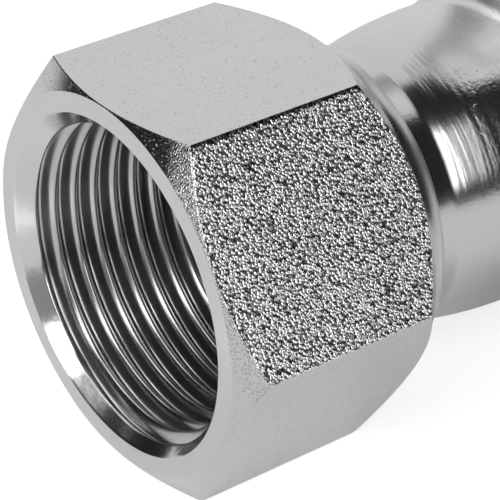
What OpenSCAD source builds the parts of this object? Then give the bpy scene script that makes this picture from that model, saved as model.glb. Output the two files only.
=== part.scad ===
// Elbow adapter for steel pipe: a female pipe thread in a hexagonal end,
// welded to a tight 90 degree bend that ends in a press socket.
// Millimetres. The origin is on the thread's axis, at its first full turn, where the
// countersink ends. -X points out of the thread's mouth and +Z out of the socket's.

/* [Threaded end] */
// Radius of the threaded hole at the thread's crests
thread_r = 15.145; // [13:0.005:16.5]
// Length of the threaded hole
thread_l = 17.6; // [14:0.1:22]
// Radial width of the countersink at the mouth
sink_w = 1.75; // [0.8:0.05:2.6]
// Depth of the countersink
sink_depth = 2.1; // [0.8:0.1:3]
// Metal left between the thread's crests and each flat
hex_wall = 3.855; // [3:0.005:6]
// Slope of the front chamfer on the hexagon's corners, in degrees from the face
front_slope = 32; // [20:1:40]
// How far the rear face stops short of the flats
rear_step = 0.1; // [0.1:0.05:0.8]
// Slope of the rear chamfer on the hexagon's corners, in degrees from the face
rear_slope = 45; // [20:1:50]
// Height of the cone that ends the threaded hole
runout_l = 1; // [0.5:0.1:1.5]
// Thickness of the web between the threaded hole and the tube's seat
web_t = 1.5; // [1:0.1:3]
// How far the web reaches in past the tube's bore
web_step = 0.5; // [0.2:0.1:1]

/* [Collar] */
// Depth of the seat that takes the tube's end
seat_l = 5; // [4:0.1:8]
// Length of the round collar behind the hexagon
collar_l = 4; // [2.5:0.1:6]
// Wall of the collar round the tube's end
collar_wall = 2.65; // [2.2:0.05:3.5]
// Rounding of the collar's rear shoulder, down to the weld
collar_round = 2; // [0.5:0.1:2.1]
// Clearance between the tube's end and its seat, on the radius
seat_gap = 0.05; // [0.02:0.01:0.1]

/* [Elbow tube] */
// Outside diameter of the pipe that the socket takes
pipe_d = 28; // [22:0.5:32]
// Wall of the tube
wall = 1.5; // [1:0.1:1.8]
// Straight length of the narrow neck behind the collar
neck_l = 3; // [2.6:0.1:6]
// Length over which the neck widens to the bend
flare_l = 12.5; // [6:0.5:20]
// Inside radius of the bend's throat
throat_r = 2; // [1:0.1:12]
// Straight length between the bend and the pipe stop
leg_l = 5.5; // [2:0.1:20]

/* [Press socket] */
// Clearance between the pipe and the socket, on the radius
socket_gap = 0.15; // [0.1:0.01:0.3]
// Length of the rolled groove that makes the pipe stop
stop_l = 4; // [3:0.1:6]
// Depth of the rolled groove
stop_depth = 0.9; // [0.6:0.05:1.4]
// Length from the pipe stop to the seal's middle
seal_depth = 18; // [10:0.5:30]
// Length from the seal's middle to the socket's mouth
mouth_l = 5; // [4.7:0.1:8]
// Rounding inside the seal's groove where it meets the bore
groove_round = 0.6; // [0.3:0.05:0.9]
// Rounding outside where the bead meets the socket
bead_round = 1.2; // [0.6:0.1:1.5]
// How far the mouth's lip flares out
lip_flare = 0.35; // [0.1:0.05:0.6]
// Length of the flared lip
lip_l = 0.8; // [0.4:0.05:1]

/* [Seal] */
// Diameter of the seal ring's cord
cord_d = 3; // [2.4:0.1:3.4]
// How far the ring reaches in past the pipe's surface
squeeze = 0.08; // [0.05:0.01:0.12]
// Clearance between the ring and its groove
seal_gap = 0.05; // [0.02:0.01:0.1]

/* [Weld] */
// Length of the weld seam along the neck
weld_l = 1; // [0.8:0.1:2.5]
// How far the seam's face bulges
weld_bulge = 0.1; // [0.05:0.05:0.3]

/* [Hidden] */
$fn = 96;
// Steps in each small rounding, and in the neck's flare
round_steps = 8;
flare_steps = 14;
// How the flare eases into the bend, fitted to the neck's outline
flare_power = 2.2;
// A cutting tool's reach past the face that it leaves
past = 1;

// Radii across the flats and corners, and of the countersink's mouth
flat_r = thread_r + hex_wall;
corner_r = flat_r / cos(30);
sink_r = thread_r + sink_w;

// Stations along the thread's axis
face_x = -sink_depth;
runout_x = thread_l;
web_x = runout_x + runout_l;
seat_x = web_x + web_t;
collar_x = seat_x + seat_l;
hex_x = collar_x - collar_l;
flare_x = collar_x + neck_l;
bend_x = flare_x + flare_l;

// Radii of the tube: neck, bend and socket
neck_r = pipe_d / 2;
neck_bore_r = neck_r - wall;
bend_bore_r = pipe_d / 2;
bend_tube_r = bend_bore_r + wall;
socket_r = pipe_d / 2 + socket_gap;
socket_out_r = socket_r + wall;
web_bore_r = neck_bore_r - web_step;
seat_r = neck_r + seat_gap;
collar_r = seat_r + collar_wall;

// The bend's centreline, and the leg's axis
bend_r = bend_tube_r + throat_r;
leg_x = bend_x + bend_r;

// Stations along the leg's axis
groove_z = bend_r + leg_l;
stop_z = groove_z + stop_l;
seal_z = stop_z + seal_depth;
mouth_z = seal_z + mouth_l;

// The seal ring and the bead round it
seal_r = pipe_d / 2 - squeeze + cord_d / 2;
groove_r = cord_d / 2 + seal_gap;
bead_r = groove_r + wall;

// Points of an arc about a centre, from one angle to another
function arc(centre, radius, from, to) =
    [for (i = [0:round_steps])
        let (a = from + (to - from) * i / round_steps)
        centre + radius * [cos(a), sin(a)]];

// The neck's widening, from 0 to 1 along its length
function ease(t) = 1 - pow(1 - t, flare_power);

// Depth of the rolled groove along its length, as a rounded dip
function dip(t) = stop_depth * (1 - cos(360 * t)) / 2;

// Turns a profile of [radius, length] points about the thread's axis, along +X
module turned_x(points) {
    rotate([90, 0, 90]) rotate_extrude() polygon(points);
}

// Outline of the threaded end: flat ring, chamfered corners and round-shouldered collar
module end_outline() {
    front_h = (corner_r - flat_r) * tan(front_slope);
    rear_r = flat_r - rear_step;
    rear_h = (corner_r - rear_r) * tan(rear_slope);
    intersection() {
        translate([face_x, 0, 0]) rotate([90, 0, 90])
            cylinder(h = hex_x - face_x, r = corner_r, $fn = 6);
        turned_x([
            [0, face_x],
            [flat_r, face_x],
            [corner_r, face_x + front_h],
            [corner_r, hex_x - rear_h],
            [rear_r, hex_x],
            [0, hex_x]
        ]);
    }
    turned_x(concat(
        [[0, hex_x - past], [collar_r, hex_x - past]],
        arc([collar_r - collar_round, collar_x - collar_round], collar_round, 0, 90),
        [[0, collar_x]]));
}

// Everything bored out of the threaded end: countersink, thread, web and seat
module end_bore() {
    sink_past = past * sink_w / sink_depth;
    turned_x([
        [0, face_x - past],
        [sink_r + sink_past, face_x - past],
        [thread_r, 0],
        [thread_r, runout_x],
        [web_bore_r, web_x],
        [web_bore_r, seat_x],
        [seat_r, seat_x],
        [seat_r, collar_x + past],
        [0, collar_x + past]
    ]);
}

module threaded_end() {
    color("gainsboro") difference() {
        end_outline();
        end_bore();
    }
}

// The neck from its seated end to the bend, as a wall that widens to the bend's size
module neck() {
    outer = [for (i = [0:flare_steps])
        let (t = i / flare_steps)
        [neck_r + (bend_tube_r - neck_r) * ease(t), flare_x + flare_l * t]];
    inner = [for (i = [flare_steps:-1:0])
        let (t = i / flare_steps)
        [neck_bore_r + (bend_bore_r - neck_bore_r) * ease(t), flare_x + flare_l * t]];
    turned_x(concat([[neck_r, seat_x]], outer, inner, [[neck_bore_r, seat_x]]));
}

// A quarter turn of plain tube, from the thread's axis up to the leg's
module bend() {
    translate([bend_x, 0, bend_r]) rotate([90, 0, 0]) rotate([0, 0, -90])
        rotate_extrude(angle = 90) translate([bend_r, 0]) difference() {
            circle(r = bend_tube_r);
            circle(r = bend_bore_r);
        }
}

// The leg: plain tube, rolled pipe stop, socket, seal bead and flared lip
module leg() {
    // The fillet that joins the socket's outside to the bead, above and below the seal
    fillet_r = socket_out_r + bead_round;
    fillet_a = asin((fillet_r - seal_r) / (bead_r + bead_round));
    fillet_h = (bead_r + bead_round) * cos(fillet_a);
    // The corner where the groove opens into the bore
    corner_c = socket_r + groove_round;
    corner_h = groove_r + groove_round;
    out_low = [for (i = [1:2 * round_steps - 1])
        let (t = i / (2 * round_steps))
        [bend_tube_r + socket_gap * t - dip(t), groove_z + stop_l * t]];
    in_low = [for (i = [2 * round_steps - 1:-1:1])
        let (t = i / (2 * round_steps))
        [bend_bore_r + socket_gap * t - dip(t), groove_z + stop_l * t]];
    points = concat(
        [[bend_tube_r, bend_r], [bend_tube_r, groove_z]],
        out_low,
        [[socket_out_r, stop_z]],
        arc([fillet_r, seal_z - fillet_h], bead_round, 180, 90 + fillet_a),
        arc([seal_r, seal_z], bead_r, fillet_a - 90, 90 - fillet_a),
        arc([fillet_r, seal_z + fillet_h], bead_round, 270 - fillet_a, 180),
        [[socket_out_r, mouth_z - lip_l], [socket_out_r + lip_flare, mouth_z]],
        [[socket_r + lip_flare, mouth_z], [socket_r, mouth_z - lip_l]],
        arc([corner_c, seal_z + corner_h], groove_round, 180, 270),
        arc([seal_r, seal_z], groove_r, 90, -90),
        arc([corner_c, seal_z - corner_h], groove_round, 90, 180),
        [[socket_r, stop_z]],
        in_low,
        [[bend_bore_r, groove_z], [bend_bore_r, bend_r]]);
    translate([leg_x, 0, 0]) rotate_extrude() polygon(points);
}

module elbow_tube() {
    color("silver") {
        neck();
        bend();
        leg();
    }
}

// The seam that fills the corner between the collar's rear face and the neck
module weld_seam() {
    top_r = collar_r - collar_round;
    height = top_r - neck_r;
    // The face is an arc through both toes, bulging past the straight line between them
    span = norm([height, weld_l]);
    face_r = (span * span / 4 + weld_bulge * weld_bulge) / (2 * weld_bulge);
    half_a = asin(span / 2 / face_r);
    out_a = atan2(height, weld_l);
    middle = [neck_r + height / 2, collar_x + weld_l / 2];
    out = [cos(out_a), sin(out_a)];
    centre = middle - out * (face_r - weld_bulge);
    color("lightgray") turned_x(concat(
        [[neck_r, collar_x]],
        arc(centre, face_r, out_a - half_a, out_a + half_a)));
}

module seal_ring() {
    color("dimgray") translate([leg_x, 0, seal_z])
        rotate_extrude() translate([seal_r, 0]) circle(r = cord_d / 2, $fn = 48);
}

threaded_end();
elbow_tube();
weld_seam();
seal_ring();
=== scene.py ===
import math

import bpy
import numpy as np
from mathutils import Matrix


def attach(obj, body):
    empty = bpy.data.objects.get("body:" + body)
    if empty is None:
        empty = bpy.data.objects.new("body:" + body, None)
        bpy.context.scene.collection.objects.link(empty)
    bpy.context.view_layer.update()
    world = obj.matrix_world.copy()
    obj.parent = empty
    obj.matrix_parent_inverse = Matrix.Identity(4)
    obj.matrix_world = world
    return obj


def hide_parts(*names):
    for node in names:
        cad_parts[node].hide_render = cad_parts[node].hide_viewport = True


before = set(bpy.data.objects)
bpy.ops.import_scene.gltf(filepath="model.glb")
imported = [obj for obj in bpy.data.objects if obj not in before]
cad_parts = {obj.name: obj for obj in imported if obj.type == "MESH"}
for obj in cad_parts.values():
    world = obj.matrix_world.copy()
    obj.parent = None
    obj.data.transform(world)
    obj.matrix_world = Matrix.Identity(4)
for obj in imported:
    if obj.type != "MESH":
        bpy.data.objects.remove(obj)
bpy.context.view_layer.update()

scene = bpy.context.scene
scene.view_settings.view_transform = "Standard"
mm = 0.001

# The sizes that the pieces share, in millimetres, as the solids have them
body = {
    "faceX": -2.1,
    "hexX": 21.1,
    "collarX": 25.1,
    "flatR": 19.0,
    "threadR": 15.145,
    "neckR": 14.0,
    "seatX": 20.1,
    "pebbledAngle": 150,  # degrees round the axis to the as-forged flat's middle
}


# Meshes

# Points on a grid as a closed mesh: a row runs round the axis, the rows follow the
# profile, and the last of each joins the first. The signed volume says which way out is.
def closedGrid(name, points):
    rows, cols = points.shape[:2]
    index = np.arange(rows * cols).reshape(rows, cols)
    right = np.roll(index, -1, axis=1)
    corners = [index, right, np.roll(right, -1, axis=0), np.roll(index, -1, axis=0)]
    quads = np.stack(corners, axis=-1).reshape(-1, 4)
    flat = points.reshape(-1, 3)
    a, b, c, d = (flat[quads[:, i]] for i in range(4))
    if (a * (np.cross(b, c) + np.cross(c, d))).sum() < 0:
        quads = quads[:, ::-1]
    mesh = bpy.data.meshes.new(name)
    mesh.from_pydata((flat * mm).tolist(), [], quads.tolist())
    mesh.polygons.foreach_set("use_smooth", np.ones(len(quads), dtype=bool))
    mesh.update()
    piece = bpy.data.objects.new(name, mesh)
    scene.collection.objects.link(piece)
    return piece


# A rounded corner as rows of points: a parabola that leaves one side and meets the
# other at the given reach, or at 0.4 of a side that is shorter
def roundedCorner(before, corner, after, reach, steps=4):
    def along(other):
        side = other - corner
        length = np.linalg.norm(side, axis=-1, keepdims=True)
        return side / np.maximum(length, 1e-9) * np.minimum(reach, 0.4 * length)
    start, end = corner + along(before), corner + along(after)
    t = np.linspace(0, 1, steps + 1)[:, None, None]
    return (1 - t) ** 2 * start + 2 * t * (1 - t) * corner + t ** 2 * end


# Rows strictly between two rows, spaced evenly, with one more close to each end that keeps
# the shading of a rounded edge off the face beside it
def between(first, last, count):
    close = 0.08 / (count + 1)
    t = np.concatenate([[close], np.linspace(0, 1, count + 2)[1:-1], [1 - close]])[:, None, None]
    return first + (last - first) * t


# Threaded end

hexEnd = {
    "sinkR": 16.895,
    "ringR": 18.87,
    "frontSlope": 32,
    "rearR": 18.9,
    "edgeRound": 0.2,
    "collarR": 16.7,
    "collarRound": 2.0,
    "webBoreR": 12.0,
    "webX": 18.6,
    "runoutX": 17.6,
    "pitch": 2.309,
    "rootR": 16.6245,
    "tipRound": 0.3171,
    "phase": 0.32,
    "crestBlur": (-0.24, -0.08, 0.08, 0.24),
    "sinkBlend": 0.05,
    "boreLift": 0.01,
    "seatGap": 0.05,
    "roughDepth": 0.045,
    "roughSeed": 11,
    "besideCorner": (0.5, 0.32, 0.2, 0.15, 0.1, 0.05, 0.0),
    "acrossFlat": 22,
    "acrossPebbled": 86,
    "alongFlat": 100,
    "alongBore": 140,
    "roundShoulder": 17,
}


# Angles round the thread's axis: even steps across each flat, closer ones beside each
# corner, and the closest across the pebbled flat
def hexAngles():
    half = body["flatR"] * math.tan(math.radians(30))
    near = half - np.array(hexEnd["besideCorner"])
    angles = []
    for middle in range(30, 390, 60):
        count = hexEnd["acrossPebbled"] if middle == body["pebbledAngle"] else hexEnd["acrossFlat"]
        wide = np.linspace(-(half - 0.7), half - 0.7, count)
        across = np.concatenate([-near[::-1][1:], wide, near])
        angles.append(math.radians(middle) + np.arctan2(across, body["flatR"]))
    return np.concatenate(angles)


# The hexagon's radius at an angle: a straight side, with an arc round each corner
def hexRadius(angle):
    soft = hexEnd["edgeRound"]
    off = np.abs((angle % math.radians(60)) - math.radians(30))
    straight = body["flatR"] / np.cos(off)
    cornerR = body["flatR"] / math.cos(math.radians(30))
    centreR = cornerR - soft / math.sin(math.radians(60))
    toCorner = math.radians(30) - off
    inside = np.maximum(soft ** 2 - (centreR * np.sin(toCorner)) ** 2, 0)
    # The arc meets the straight side at a distance of 0.577 of its radius from the corner
    touch = math.atan2(body["flatR"] * math.tan(math.radians(30)) - 0.577 * soft, body["flatR"])
    return np.where(off > touch, centreR * np.cos(toCorner) + np.sqrt(inside), straight)


# The thread's radius: a 55 degree V with rounded crests and roots, wound as a right-hand
# helix, so its place along the axis moves on by one pitch a turn
def threadRadius(x, angle):
    pitch, tip = hexEnd["pitch"], hexEnd["tipRound"]
    turn = (x / pitch - angle / (2 * math.pi) + hexEnd["phase"]) % 1.0
    off = np.abs(turn - 0.5) * pitch
    middle = (hexEnd["rootR"] + body["threadR"]) / 2
    lean = math.radians(27.5)
    flank = middle - (off - pitch / 4) / math.tan(lean)
    root = hexEnd["rootR"] - tip + np.sqrt(np.maximum(tip ** 2 - off ** 2, 0))
    crest = body["threadR"] + tip - np.sqrt(np.maximum(tip ** 2 - (pitch / 2 - off) ** 2, 0))
    reach = tip * math.cos(lean)
    return np.where(off < reach, root, np.where(pitch / 2 - off < reach, crest, flank))


# A number that goes from 0 to 1 between two edges, with level ends
def ramp(low, high, value):
    t = np.clip((value - low) / (high - low), 0, 1)
    return t * t * (3 - 2 * t)


def makeHexEnd():
    angle = hexAngles()
    ones = np.ones_like(angle)
    outR = hexRadius(angle)

    def at(x, r):
        return np.stack([x * ones, r * ones], axis=-1)

    frontRise = math.tan(math.radians(hexEnd["frontSlope"]))
    mouth = at(body["faceX"], hexEnd["sinkR"])
    ring = at(body["faceX"], hexEnd["ringR"])
    front = at(body["faceX"] + (outR - hexEnd["ringR"]) * frontRise, outR)
    rear = at(body["hexX"] - (outR - hexEnd["rearR"]), outR)
    rearFoot = at(body["hexX"], hexEnd["rearR"])
    collarFoot = at(body["hexX"], hexEnd["collarR"])
    # The collar's shoulder, a quarter circle
    curve = hexEnd["collarRound"]
    quarter = np.linspace(0, math.pi / 2, hexEnd["roundShoulder"])
    shoulder = np.stack([at(body["collarX"] - curve + curve * math.sin(a),
                            hexEnd["collarR"] - curve + curve * math.cos(a)) for a in quarter])
    seatR = body["neckR"] + hexEnd["seatGap"]
    seatMouth = at(body["collarX"], seatR)
    seatEnd = at(body["seatX"], seatR)
    webRear = at(body["seatX"], hexEnd["webBoreR"])
    webFront = at(hexEnd["webX"], hexEnd["webBoreR"])
    runout = at(hexEnd["runoutX"], body["threadR"])
    sinkEnd = at(0, body["threadR"])

    # The profile's corners in turn, each with its rounding and the rows up to it
    corners = [(mouth, 0.005, 0), (ring, 0.03, 3), (front, 0.12, 3), (rear, 0.1, hexEnd["alongFlat"]),
               (rearFoot, 0.08, 2), (collarFoot, 0.3, 3), (shoulder, None, 4), (seatMouth, 0.03, 2),
               (seatEnd, 0.1, 4), (webRear, 0.12, 2), (webFront, 0.12, 4)]
    ends = [sinkEnd] + [corner for corner, reach, fill in corners] + [runout]
    rows = []
    for i, (corner, reach, fill) in enumerate(corners):
        if reach:
            before = ends[i][-1] if ends[i].ndim == 3 else ends[i]
            after = ends[i + 2][0] if ends[i + 2].ndim == 3 else ends[i + 2]
            corner = roundedCorner(before, corner, after, reach)
        if fill:
            rows.append(between(rows[-1][-1], corner[0], fill))
        rows.append(corner)

    # The bore: the countersink's cone and the thread, whichever is wider. The thread is
    # averaged over half a millimetre, which rounds its crests, and fades in on the cone and
    # out over its last turn.
    x = np.linspace(hexEnd["runoutX"], body["faceX"] + 0.1, hexEnd["alongBore"])[:, None]
    sink = body["threadR"] + (hexEnd["sinkR"] - body["threadR"]) * x / body["faceX"]
    fade = ramp(-1.5, -0.7, x) * (1 - ramp(hexEnd["runoutX"] - 2.6, hexEnd["runoutX"] - 0.2, x))
    soft = np.mean([threadRadius(x + d, angle[None, :]) for d in hexEnd["crestBlur"]], axis=0)
    cut = body["threadR"] + (soft - body["threadR"]) * fade
    wide = (cut + sink + np.sqrt((cut - sink) ** 2 + hexEnd["sinkBlend"] ** 2)) / 2
    wide = np.maximum(wide - hexEnd["boreLift"], body["threadR"] - hexEnd["boreLift"] / 2)
    rows.append(between(rows[-1][-1], at(hexEnd["runoutX"], body["threadR"]), 4))
    rows.append(np.stack([x * ones[None, :], wide], axis=-1))
    profile = np.concatenate(rows)

    points = np.stack([
        profile[..., 0],
        profile[..., 1] * np.cos(angle),
        profile[..., 1] * np.sin(angle),
    ], axis=-1)

    # The pebbled flat: each grid point on it sinks in by a seeded random depth, averaged a
    # little with its neighbours'
    rough = math.radians(body["pebbledAngle"])
    normal = np.array([0, math.cos(rough), math.sin(rough)])
    height = points @ normal
    across = points @ np.array([0, -math.sin(rough), math.cos(rough)])
    grain = np.random.default_rng(hexEnd["roughSeed"]).random(points.shape[:2])
    grain = (grain + 0.35 * np.roll(grain, 1, axis=0) + 0.35 * np.roll(grain, 1, axis=1)) / 1.7
    mask = ramp(body["flatR"] - 0.12, body["flatR"] - 0.04, height) * ramp(11.2, 10.6, np.abs(across))
    mask *= ramp(body["hexX"] - 0.5, body["hexX"] - 1.5, points[..., 0])
    points = points - (mask * grain)[..., None] * hexEnd["roughDepth"] * normal
    return closedGrid("hexEnd", points)


# Elbow tube

tube = {
    "wall": 1.5,
    "boreR": 14.0,
    "flareX": 28.1,
    "bendX": 40.6,
    "bendTubeR": 15.5,
    "bendR": 17.5,
    "grooveZ": 23.0,
    "stopZ": 27.0,
    "stopDepth": 0.9,
    "sealZ": 45.0,
    "mouthZ": 50.0,
    "socketR": 14.15,
    "sealR": 15.42,
    "grooveR": 1.55,
    "beadRound": 1.2,
    "grooveRound": 0.6,
    "lipFlare": 0.35,
    "lipL": 0.8,
    "rimStep": 0.08,
    "flarePower": 2.2,
    "around": 176,
    "rows": {"neck": 18, "flare": 44, "bend": 64, "leg": 14, "stop": 40, "socket": 16},
}


# Points of an arc about a centre, from one angle in degrees to another
def arcPoints(centre, radius, start, end, count):
    a = np.radians(np.linspace(start, end, count))
    return np.stack([centre[0] + radius * np.cos(a), centre[1] + radius * np.sin(a)], axis=-1)


# The leg's profile as points of radius and height: a rolled dip for the pipe stop, the
# socket, a bead that is an arc with a fillet on each side, and the flared lip
def legProfile(outside):
    def upright(r, start, end, count):
        return np.stack([np.full(count, r), np.linspace(start, end, count)], axis=-1)

    t = np.linspace(0, 1, tube["rows"]["stop"])
    dip = tube["stopDepth"] * (1 - np.cos(2 * math.pi * t)) / 2
    gap = tube["socketR"] - tube["boreR"]
    base = tube["bendTubeR"] if outside else tube["boreR"]
    socket = tube["socketR"] + (tube["wall"] if outside else 0)
    straight = upright(base, tube["bendR"], tube["grooveZ"], tube["rows"]["leg"])
    stopHigh = tube["stopZ"] - tube["grooveZ"]
    stop = np.stack([base + gap * t - dip, tube["grooveZ"] + stopHigh * t], axis=-1)
    mouth = np.array([[socket, tube["mouthZ"] - tube["lipL"]],
                      [socket + 0.12, tube["mouthZ"] - 0.5],
                      [socket + tube["lipFlare"], tube["mouthZ"] - 0.02]])
    middle = (tube["sealR"], tube["sealZ"])
    if outside:
        soft = tube["beadRound"]
        bead = tube["grooveR"] + tube["wall"]
        lean = math.degrees(math.asin((socket + soft - tube["sealR"]) / (bead + soft)))
        rise = (bead + soft) * math.cos(math.radians(lean))
        parts = [
            arcPoints((socket + soft, tube["sealZ"] - rise), soft, 180, 90 + lean, 10),
            arcPoints(middle, bead, lean - 90, 90 - lean, 28)[1:-1],
            arcPoints((socket + soft, tube["sealZ"] + rise), soft, 270 - lean, 180, 10),
        ]
    else:
        soft = tube["grooveRound"]
        high = tube["grooveR"] + soft
        parts = [
            arcPoints((socket + soft, tube["sealZ"] - high), soft, 180, 90, 8),
            arcPoints(middle, tube["grooveR"], -90, 90, 24)[1:-1],
            arcPoints((socket + soft, tube["sealZ"] + high), soft, 270, 180, 8),
        ]
    low = upright(socket, tube["stopZ"], parts[0][0, 1] - 0.2, tube["rows"]["socket"])
    return np.concatenate([straight[1:], stop[1:], low[1:]] + parts + [mouth])


# The tube's wall, carried along its path: straight from its seat, a neck that widens by
# 1 - (1 - t) to a power, a quarter circle, and the leg. Each row is a circle at a
# centre on the path, square to it.
def tubeWall(outside):
    inset = 0 if outside else tube["wall"]
    rows, neckR = tube["rows"], body["neckR"]
    straight = np.linspace(body["seatX"] + tube["rimStep"], tube["flareX"], rows["neck"])
    t = np.linspace(0, 1, rows["flare"])
    flareX = tube["flareX"] + (tube["bendX"] - tube["flareX"]) * t
    flareR = neckR + (tube["bendTubeR"] - neckR) * (1 - (1 - t) ** tube["flarePower"]) - inset
    x = np.concatenate([straight, flareX[1:]])
    r = np.concatenate([np.full(rows["neck"], neckR - inset), flareR[1:]])
    zero, one = np.zeros_like(x), np.ones_like(x)
    neckMid = np.stack([x, zero, zero], axis=-1)
    neckOut = np.stack([zero, zero, one], axis=-1)

    a = np.linspace(0, math.pi / 2, rows["bend"])[1:]
    bendMid = np.stack([tube["bendX"] + tube["bendR"] * np.sin(a), 0 * a,
                        tube["bendR"] * (1 - np.cos(a))], axis=-1)
    bendOut = np.stack([-np.sin(a), 0 * a, np.cos(a)], axis=-1)

    leg = legProfile(outside)
    legX = np.full(len(leg), tube["bendX"] + tube["bendR"])
    legMid = np.stack([legX, 0 * legX, leg[:, 1]], axis=-1)
    legOut = np.tile([-1.0, 0.0, 0.0], (len(leg), 1))

    middle = np.concatenate([neckMid, bendMid, legMid])
    outward = np.concatenate([neckOut, bendOut, legOut])
    radius = np.concatenate([r, np.full(len(a), tube["bendTubeR"] - inset), leg[:, 0]])
    phi = np.linspace(0, 2 * math.pi, tube["around"], endpoint=False)
    side = np.array([0.0, 1.0, 0.0])
    turned = np.cos(phi)[:, None] * outward[:, None, :] + np.sin(phi)[:, None] * side
    return middle[:, None, :] + radius[:, None, None] * turned


def makeElbowTube():
    outer, inner = tubeWall(True), tubeWall(False)
    # Each end of the wall is closed by a small rounded rim
    mouthMid = (outer[-1] + inner[-1]) / 2 + np.array([0, 0, 0.02])
    seatMid = (outer[0] + inner[0]) / 2 - np.array([tube["rimStep"], 0, 0])

    def rim(a, b, mid):
        lift = (mid - (a + b) / 2) * 0.9
        return np.stack([a * 0.94 + b * 0.06 + lift, mid, a * 0.06 + b * 0.94 + lift])

    points = np.concatenate([
        outer, rim(outer[-1], inner[-1], mouthMid), inner[::-1], rim(inner[0], outer[0], seatMid)])
    return closedGrid("elbowTube", points)


# Weld seam

seam = {
    "length": 1.0,
    "bulge": 0.1,
    "topR": 14.7,
    "ripple": 0.005,
    "ripples": 150,
    "drift": 0.01,
    "around": 720,
    "faceRows": 15,
}


# A ring in the corner behind the collar: a straight foot on the neck and on the collar, and
# a bulging arc between its toes, with shallow ripples round it
def makeWeldSeam():
    phi = np.linspace(0, 2 * math.pi, seam["around"], endpoint=False)
    rise = seam["topR"] - body["neckR"]
    span = math.hypot(rise, seam["length"])
    faceR = (span ** 2 / 4 + seam["bulge"] ** 2) / (2 * seam["bulge"])
    half = math.degrees(math.asin(span / 2 / faceR))
    out = 90 - math.degrees(math.atan2(rise, seam["length"]))
    middle = np.array([body["collarX"] + seam["length"] / 2, body["neckR"] + rise / 2])
    normal = np.array([math.cos(math.radians(out)), math.sin(math.radians(out))])
    centre = middle - normal * (faceR - seam["bulge"])
    face = arcPoints(centre, faceR, out + half, out - half, seam["faceRows"])
    foot = np.array([[0.7, 0.01], [0.35, 0.01], [0.005, 0.01], [0.005, 0.4]]) * [seam["length"], 1]
    profile = np.concatenate([face, foot + [body["collarX"], body["neckR"]]])
    x = np.repeat(profile[:, :1], len(phi), axis=1)
    r = np.repeat(profile[:, 1:], len(phi), axis=1)
    onFace = np.sin(np.linspace(0, math.pi, seam["faceRows"]))
    lift = np.concatenate([onFace, np.zeros(len(foot))])[:, None]
    wave = np.sin(seam["ripples"] * phi[None, :] + 2.8 * x)
    drift = 0.6 * np.sin(5 * phi + 1.0) + 0.4 * np.sin(11 * phi)
    r = r + lift * (seam["ripple"] * wave + seam["drift"] * (drift[None, :] - 1))
    points = np.stack([x, r * np.cos(phi), r * np.sin(phi)], axis=-1)
    return closedGrid("weldSeam", points)


# Seal ring

seal = {
    "cordR": 1.5,
    "slack": 0.03,
    "flash": 0.025,
    "flashWidth": 0.09,
    "around": 224,
    "roundCord": 56,
}


# A torus in the tube's bead, with a thin moulding line round its inside
def makeSealRing():
    phi = np.linspace(0, 2 * math.pi, seal["around"], endpoint=False)[None, :]
    a = np.linspace(0, 2 * math.pi, seal["roundCord"], endpoint=False)[:, None]
    line = seal["flash"] * np.exp(-(((a - math.pi) / seal["flashWidth"]) ** 2))
    cord = seal["cordR"] - seal["slack"] + line
    r = tube["sealR"] + cord * np.cos(a)
    z = tube["sealZ"] + cord * np.sin(a)
    legX = tube["bendX"] + tube["bendR"]
    points = np.stack([legX + r * np.cos(phi), r * np.sin(phi), z + 0 * phi], axis=-1)
    return closedGrid("sealRing", points)


# Shader maths

# One output of a shader node. + - * and ** on it add a Math node, and the number may stand
# before the first three signs too.
class Wire:
    def __init__(self, tree, socket):
        self.tree = tree
        self.socket = socket

    def maths(self, operation, first, second):
        return self.tree.add("ShaderNodeMath", {"operation": operation}, {0: first, 1: second})

    def __add__(self, other):
        return self.maths("ADD", self, other)

    def __sub__(self, other):
        return self.maths("SUBTRACT", self, other)

    def __rsub__(self, other):
        return self.maths("SUBTRACT", other, self)

    def __mul__(self, other):
        return self.maths("MULTIPLY", self, other)

    def __pow__(self, other):
        return self.maths("POWER", self, other)

    __radd__ = __add__
    __rmul__ = __mul__


# A node tree that nodes are added to by type, settings and socket values. What comes back
# is the output that out names, or the node itself where out is None.
class Tree:
    def __init__(self, owner):
        owner.use_nodes = True
        self.nodes = owner.node_tree.nodes
        self.links = owner.node_tree.links
        self.nodes.clear()

    def add(self, kind, settings=None, values=None, out=0):
        node = self.nodes.new(kind)
        for key, value in (settings or {}).items():
            setattr(node, key, value)
        for key, value in (values or {}).items():
            if isinstance(value, Wire):
                self.links.new(value.socket, node.inputs[key])
            else:
                node.inputs[key].default_value = value
        return node if out is None or not len(node.outputs) else Wire(self, node.outputs[out])

    def split(self, place, axes):
        parts = self.add("ShaderNodeSeparateXYZ", None, {"Vector": place}, out=None)
        return [Wire(self, parts.outputs[axis]) for axis in axes]

    def grey(self, value):
        return self.add("ShaderNodeCombineColor", None, {"Red": value, "Green": value, "Blue": value})

    def step(self, value, low, high):
        return self.add("ShaderNodeMapRange", {"interpolation_type": "SMOOTHSTEP"},
                        {"Value": value, "From Min": low, "From Max": high})

    def noise(self, place, scale, detail=2.0, roughness=0.5):
        return self.add("ShaderNodeTexNoise", {"normalize": True},
                        {"Vector": place, "Scale": scale, "Detail": detail, "Roughness": roughness})


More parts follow.
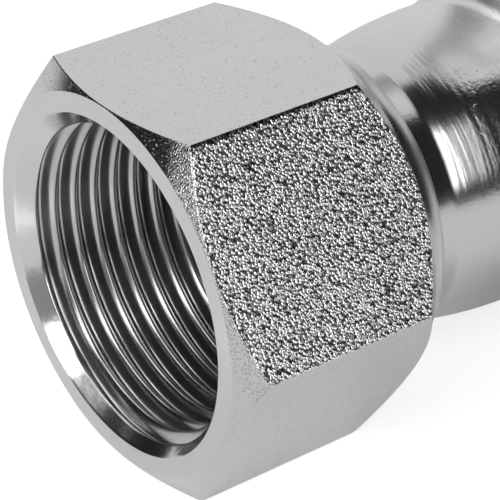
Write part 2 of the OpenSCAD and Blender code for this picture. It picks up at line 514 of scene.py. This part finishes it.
# Steel that has its own grey and mottling. marks adds the piece's own tool marks, and
# gives a height, a shade and a roughness from the object's coordinates.
def makeSteel(name, finish, marks):
    material = bpy.data.materials.new(name)
    tree = Tree(material)
    place = tree.add("ShaderNodeTexCoord", out="Object")
    height, shade, rough = marks(tree, place)
    cloud = tree.noise(place, finish["cloudScale"], 3.0)
    colour = tree.grey(shade * (finish["grey"] + (cloud - 0.5) * finish["cloud"]))
    bump = tree.add("ShaderNodeBump", None, {"Strength": 1.0, "Distance": mm, "Height": height})
    shader = tree.add("ShaderNodeBsdfPrincipled", None, {
        "Base Color": colour, "Metallic": 1.0,
        "Roughness": rough + (cloud - 0.5) * finish["roughVary"], "Normal": bump})
    tree.add("ShaderNodeOutputMaterial", None, {"Surface": shader})
    return material


turnedSteel = {
    "grey": 0.66,
    "cloud": 0.06,
    "cloudScale": 130,
    "roughness": 0.17,
    "roughVary": 0.06,
    "outsideFrom": (0.01885, 0.019),
    "behindFrom": (-0.0003, 0.0003),
    "chatterTo": (-0.0008, 0.0),
    "shoulderFrom": (0.0229, 0.0237),
    "chamferFrom": (0.01885, 0.01892),
    "chamferTo": (0.00002, 0.00008),
    "spottedFrom": (0.0158, 0.0178),
    "forgedFrom": (0.01884, 0.0189),
    "pebbledFrom": (0.00008, 0.0002),
    "edgeShadowFrom": (0.01056, 0.01068),
    "ringScale": 9000,
    "chatterScale": 1100,
    "speckleScale": 5200,
    "pitScale": 4300,
    "spotScale": 5600,
    "pebbleScale": 3500,
    "crumbScale": 3900,
    "ringHeight": 0.002,
    "chatterHeight": 0.012,
    "speckleHeight": 0.008,
    "pitDepth": 0.01,
    "spotHeight": 0.07,
    "pebbleHeight": 0.12,
    "pitShade": 0.25,
    "spotShade": 0.3,
    "pebblePaintedLight": 0.42,
    "paintedCreviceShade": 1.2,
    "edgeShadowDepth": 0.93,
    "edgeShadowWander": 0.0013,
    "behindPaintedShade": 0.2,
    "behindSatin": 0.05,
    "shoulderPaintedLight": 0.38,
    "shoulderSatin": 0.2,
    "pebbleSatin": 0.08,
}


# Turned steel. Rings run round the axis in the bore and on the other round faces, and soft
# chatter marks the countersink. What lies behind the countersink, the threads and the collar
# among it, is a little rougher and darker by painted shade, and the collar's shoulder is a
# satin made lighter by painted light. The smooth flats have fine pits. The as-forged flat,
# found by its distance from the axis, has rounded pebbles lightened by painted light, painted
# shade in their crevices and a ragged band of painted shadow beside the top flat. The pebbles
# stop short of the front chamfer, which is speckled there. A From or a To gives the two
# places, in metres, between which a mark begins or ends.
def turnedMarks(tree, place):
    look = turnedSteel
    x, y, z = tree.split(place, "XYZ")
    r = (y * y + z * z) ** 0.5
    outside = tree.step(r, *look["outsideFrom"])
    inside = 1 - outside
    behind = inside * tree.step(x, *look["behindFrom"])
    shoulder = tree.step(x, *look["shoulderFrom"])

    # Distance from the axis square to the as-forged flat, and along it towards the top flat
    towards = math.radians(body["pebbledAngle"])
    lift = y * math.cos(towards) + z * math.sin(towards)
    upward = y * math.sin(towards) - z * math.cos(towards)
    rise = math.tan(math.radians(hexEnd["frontSlope"]))
    pastChamfer = x - body["faceX"] * mm - (r - hexEnd["ringR"] * mm) * rise
    onChamfer = (1 - tree.step(pastChamfer, *look["chamferTo"])) * tree.step(r, *look["chamferFrom"])
    spotted = onChamfer * tree.step(lift, *look["spottedFrom"])
    forged = tree.step(lift, *look["forgedFrom"])
    pebbled = forged * tree.step(pastChamfer, *look["pebbledFrom"])

    ringPlace = tree.add("ShaderNodeCombineXYZ", None, {
        "X": r * look["ringScale"], "Y": x * look["ringScale"], "Z": 0.0})
    rings = tree.noise(ringPlace, 1.0, 2.0) * inside
    chatter = tree.noise(place, look["chatterScale"], 1.0) * inside
    chatter = chatter * (1 - tree.step(x, *look["chatterTo"]))
    speckle = tree.noise(place, look["speckleScale"], 2.0, 0.6)
    pit = tree.step(tree.noise(place, look["pitScale"], 1.0), 0.62, 0.72) * outside * (1 - pebbled)
    spots = tree.noise(place, look["spotScale"], 1.0)

    cell = tree.add("ShaderNodeTexVoronoi", {"feature": "SMOOTH_F1"},
                    {"Vector": place, "Scale": look["pebbleScale"], "Smoothness": 0.4})
    crumb = tree.noise(place, look["crumbScale"], 2.0, 0.6)
    pebble = crumb * 0.6 - cell * 0.8
    crevice = tree.step(cell + (0.5 - crumb) * 0.5, 0.5, 0.7)
    paintedEdgeShadow = tree.step(upward + (crumb - 0.5) * look["edgeShadowWander"], *look["edgeShadowFrom"]) * forged

    height = rings * (1 - behind * 0.7) * look["ringHeight"] + chatter * look["chatterHeight"]
    height = height + speckle * outside * look["speckleHeight"] - pit * look["pitDepth"]
    height = height + spots * spotted * look["spotHeight"] + pebble * pebbled * look["pebbleHeight"]

    shade = (1 - pit * look["pitShade"]) * (1 - spotted * tree.step(spots, 0.52, 0.6) * look["spotShade"])
    # Painted light lifts the pebbles, and painted shade darkens the crevices between them
    shade = shade * (1 + pebbled * (look["pebblePaintedLight"] - crevice * look["paintedCreviceShade"]))
    # Painted shadow in a ragged band along the as-forged flat's edge beside the top flat
    shade = shade * (1 - paintedEdgeShadow * look["edgeShadowDepth"])
    # Painted light on the collar's shoulder, and painted shade on all that lies behind the countersink
    shade = shade * (1 + shoulder * look["shoulderPaintedLight"]) * (1 - behind * look["behindPaintedShade"])

    rough = look["roughness"] + pebbled * look["pebbleSatin"]
    rough = rough + behind * look["behindSatin"] + shoulder * look["shoulderSatin"]
    return height, shade, rough


tubeSteel = {
    "grey": 0.64,
    "cloud": 0.08,
    "cloudScale": 90,
    "roughness": 0.16,
    "roughVary": 0.1,
    "wideningFrom": (0.028, 0.0288),
    "wideningTo": (0.0325, 0.036),
    "formedFrom": (0.0305, 0.034),
    "throatFrom": (0.013, 0.019),
    "throatTo": (0.046, 0.054),
    "grainScale": 4200,
    "mottleScale": 1900,
    "speckScale": 1500,
    "ringScale": (2600.0, 160.0, 160.0),
    "rippleScale": (900.0, 70.0, 70.0),
    "grainHeight": 0.006,
    "ringHeight": 0.006,
    "rippleHeight": 0.08,
    "mottleHeight": 0.03,
    "speckHeight": 0.015,
    "throatSatin": 0.38,
    "throatPaintedLight": 0.3,
}


# Drawn tube: faint rings round the neck, a fine grain, forming ripples where the neck widens,
# past them a mottled skin with small raised specks, and a rougher satin inside the bend and
# on the leg's side above it, made lighter there by painted light
def tubeMarks(tree, place):
    look = tubeSteel
    x, z = tree.split(place, "XZ")
    widening = tree.step(x, *look["wideningFrom"]) * (1 - tree.step(x, *look["wideningTo"]))
    formed = tree.step(x, *look["formedFrom"])
    throat = tree.step(z, *look["throatFrom"]) * (1 - tree.step(x, *look["throatTo"]))

    def stretched(scale):
        scaled = tree.add("ShaderNodeVectorMath", {"operation": "MULTIPLY"}, {0: place, 1: scale})
        return tree.noise(scaled, 1.0, 2.0)

    grain = tree.noise(place, look["grainScale"], 3.0, 0.6)
    mottle = tree.noise(place, look["mottleScale"], 3.0, 0.65)
    specks = tree.step(tree.noise(place, look["speckScale"], 1.0), 0.68, 0.76)
    height = grain * look["grainHeight"] + stretched(look["ringScale"]) * look["ringHeight"]
    height = height + stretched(look["rippleScale"]) * widening * look["rippleHeight"]
    height = height + (mottle * look["mottleHeight"] + specks * look["speckHeight"]) * formed
    # Painted light makes the throat's colour lighter
    shade = (1 - grain * 0.03) * (1 + throat * look["throatPaintedLight"])
    rough = look["roughness"] + grain * 0.02 + throat * look["throatSatin"]
    return height, shade, rough


weldSteel = {
    "grey": 0.82,
    "cloud": 0.1,
    "cloudScale": 400,
    "roughness": 0.4,
    "roughVary": 0.1,
    "dimpleScale": 1400,
    "dimpleHeight": 0.02,
}


# Fused steel: a smooth skin with soft dimples
def weldMarks(tree, place):
    dimple = tree.noise(place, weldSteel["dimpleScale"], 2.0)
    height = dimple * weldSteel["dimpleHeight"]
    return height, 1 - dimple * 0.05, weldSteel["roughness"] + dimple * 0.02


sealRubber = {
    "black": 0.018,
    "roughness": 0.42,
    "grainScale": 3000,
    "grainHeight": 0.02,
    "bloomScale": 160,
}


# Moulded rubber: near black with a fine matt grain
def makeRubber():
    material = bpy.data.materials.new("sealRubber")
    tree = Tree(material)
    place = tree.add("ShaderNodeTexCoord", out="Object")
    grain = tree.noise(place, sealRubber["grainScale"], 3.0)
    bloom = tree.noise(place, sealRubber["bloomScale"], 2.0)
    bump = tree.add("ShaderNodeBump", None, {
        "Strength": 0.6, "Distance": mm, "Height": grain * sealRubber["grainHeight"]})
    shader = tree.add("ShaderNodeBsdfPrincipled", None, {
        "Base Color": tree.grey(sealRubber["black"] + bloom * 0.014),
        "Roughness": sealRubber["roughness"] + bloom * 0.1, "Normal": bump})
    tree.add("ShaderNodeOutputMaterial", None, {"Surface": shader})
    return material


# The pieces in place of the solids
plan = [
    (makeHexEnd, "threaded_end", "turned_steel", makeSteel("turnedSteel", turnedSteel, turnedMarks)),
    (makeElbowTube, "elbow_tube", "tube_steel", makeSteel("tubeSteel", tubeSteel, tubeMarks)),
    (makeWeldSeam, "weld_seam", "weld_steel", makeSteel("weldSteel", weldSteel, weldMarks)),
    (makeSealRing, "seal_ring", "seal_rubber", makeRubber()),
]
for make, node, slotName, material in plan:
    piece = make()
    piece.data.materials.append(material)
    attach(piece, "root")
    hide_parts(node)
    print(piece.name, "has", len(piece.data.polygons), "faces")


# Studio

# Directions in the studio: out past the bend and out of the mouth, away from the camera's
# side and to it, and up
toBend, toMouth = (1, 0, 0), (-1, 0, 0)
toFar, toNear = (0, 1, 0), (0, -1, 0)
toSky = (0, 0, 1)

studio = {
    "floorZ": -0.01905,
    "floorHalf": 3.0,
    "floorGrey": 0.8,
    "floorToCamera": 0.62,
    "floorToMetal": 0.18,
    "underTube": 1.0,
    "underFrom": (0.028, 0.045),
    "underTo": (0.02, 0.036),
    "beforeMouth": 0.5,
    "beforeFrom": (-0.042, -0.036),
    "beforeTo": (-0.026, -0.022),
    "beforeAside": (0.009, 0.014),
    "room": 0.015,
    "lights": {
        "farSoftbox": (0.8, [(toFar, 0.06, 0.2), (toBend, -0.12, 0.14)]),
        "mouthSoftbox": (0.8, [(toFar, 0.2, 0.35), (toSky, 0.48, 0.56), (toBend, -0.5, -0.38),
                               (toMouth, -0.14, 0.12)]),
        "topPanel": (1.2, [(toSky, 0.65, 0.73), (toMouth, 0.0, 0.14), (toFar, -0.12, 0.02),
                           (toNear, -0.48, -0.38)]),
        "threadStrip": (2.2, [((0, 0.766, 0.643), 0.07, 0.13), ((0, -0.766, -0.643), -0.3, -0.24),
                              (toMouth, 0.22, 0.32), (toSky, 0.2, 0.3)]),
        "widePane": (2.9, [(toBend, -0.55, -0.35), (toMouth, -0.16, -0.12), (toSky, 0.16, 0.3),
                           (toNear, 0.5, 0.64)]),
        "narrowPane": (1.3, [(toBend, 0.19, 0.23), (toMouth, -0.3, -0.24), (toSky, 0.16, 0.3),
                             (toNear, 0.5, 0.64)]),
        "faintDisc": (0.3, [((-0.82, -0.55, 0.12), 0.93, 0.98)]),
    },
    "lampAt": (-0.59, -0.15, 0.435),
    "lampAim": (0.02, 0, 0),
    "lampSize": 0.4,
    "lampPower": 1.0,
}


# A pale floor that lights the steel from below in reflections, but not from under the tube,
# and more from a patch before the mouth. Both places are in metres. To the camera it is near
# white, with the object's shadow kept.
def makeFloor():
    half = studio["floorHalf"]
    mesh = bpy.data.meshes.new("studioFloor")
    square = [(-half, -half, 0), (half, -half, 0), (half, half, 0), (-half, half, 0)]
    mesh.from_pydata(square, [], [(0, 1, 2, 3)])
    floor = bpy.data.objects.new("studioFloor", mesh)
    mesh.transform(Matrix.Translation((0, 0, studio["floorZ"])))
    scene.collection.objects.link(floor)
    material = bpy.data.materials.new("paleFloor")
    tree = Tree(material)
    path = tree.add("ShaderNodeLightPath", out=None)
    camera, glossy = (Wire(tree, path.outputs["Is %s Ray" % ray]) for ray in ("Camera", "Glossy"))
    x, y = tree.split(tree.add("ShaderNodeTexCoord", out="Object"), "XY")
    aside = (y * y) ** 0.5
    under = tree.step(x, *studio["underFrom"]) * (1 - tree.step(aside, *studio["underTo"]))
    mirrored = glossy * studio["floorToMetal"] * (1 - under * studio["underTube"])
    before = tree.step(x, *studio["beforeFrom"]) * (1 - tree.step(x, *studio["beforeTo"]))
    before = before * (1 - tree.step(aside, *studio["beforeAside"]))
    mirrored = mirrored + glossy * before * studio["beforeMouth"]
    grey = studio["floorGrey"]
    paint = tree.add("ShaderNodeBsdfDiffuse", None, {"Color": (grey, grey, grey, 1)})
    glow = tree.add("ShaderNodeEmission", None, {
        "Color": (1, 1, 1, 1), "Strength": camera * studio["floorToCamera"] + mirrored})
    both = tree.add("ShaderNodeAddShader", None, {0: paint, 1: glow})
    tree.add("ShaderNodeOutputMaterial", None, {"Surface": both})
    material.cycles.emission_sampling = "NONE"
    mesh.materials.append(material)


# The room: near black all round with soft lights, each given by its strength and its edges.
# An edge is a direction with the two cosines to it between which the light comes up. The
# camera itself sees white.
def makeRoom():
    world = bpy.data.worlds.new("studioRoom")
    scene.world = world
    tree = Tree(world)
    place = tree.add("ShaderNodeTexCoord", out="Generated")
    light = studio["room"]
    for strength, edges in studio["lights"].values():
        shape = strength
        for towards, low, high in edges:
            facing = tree.add("ShaderNodeVectorMath", {"operation": "DOT_PRODUCT"},
                              {0: place, 1: towards}, out="Value")
            shape = tree.step(facing, low, high) * shape
        light = shape + light
    path = tree.add("ShaderNodeLightPath", out="Is Camera Ray")
    sky = tree.add("ShaderNodeBackground", None, {
        "Color": (1, 1, 1, 1), "Strength": path + (1 - path) * light})
    tree.add("ShaderNodeOutputWorld", None, {"Surface": sky})


# Puts a lamp or a camera in the scene. Its matrix's columns are its three axes and its place.
def placeInStudio(name, data, right, up, back, at):
    item = bpy.data.objects.new(name, data)
    rows = [[right[i], up[i], back[i], at[i]] for i in range(3)]
    item.matrix_world = Matrix(rows + [[0, 0, 0, 1]])
    scene.collection.objects.link(item)
    return item


# A round lamp that faces a point near the object's middle
def makeLamp():
    data = bpy.data.lights.new("sideLamp", "AREA")
    data.shape = "DISK"
    data.size = studio["lampSize"]
    data.energy = studio["lampPower"]
    back = np.array(studio["lampAt"]) - np.array(studio["lampAim"])
    back = back / np.linalg.norm(back)
    right = np.cross([0, 0, 1.0], back)
    right = right / np.linalg.norm(right)
    placeInStudio("sideLamp", data, right, np.cross(back, right), back, studio["lampAt"])


# The camera's lens and place, fitted to the photo's outlines
photoCamera = {
    "lens": 175.17,
    "sensor": 36,
    "right": (0.80383, -0.5947, -0.01391),
    "up": (0.31855, 0.41059, 0.85437),
    "back": (-0.50238, -0.6912, 0.51948),
    "at": (-0.103551, -0.16151, 0.11948),
}


def makeCamera():
    data = bpy.data.cameras.new("photoCamera")
    data.lens = photoCamera["lens"]
    data.sensor_width = photoCamera["sensor"]
    data.clip_start = 0.01
    data.clip_end = 20
    scene.camera = placeInStudio("photoCamera", data, photoCamera["right"], photoCamera["up"],
                                 photoCamera["back"], photoCamera["at"])


makeFloor()
makeRoom()
makeLamp()
makeCamera()
print("studio is set")
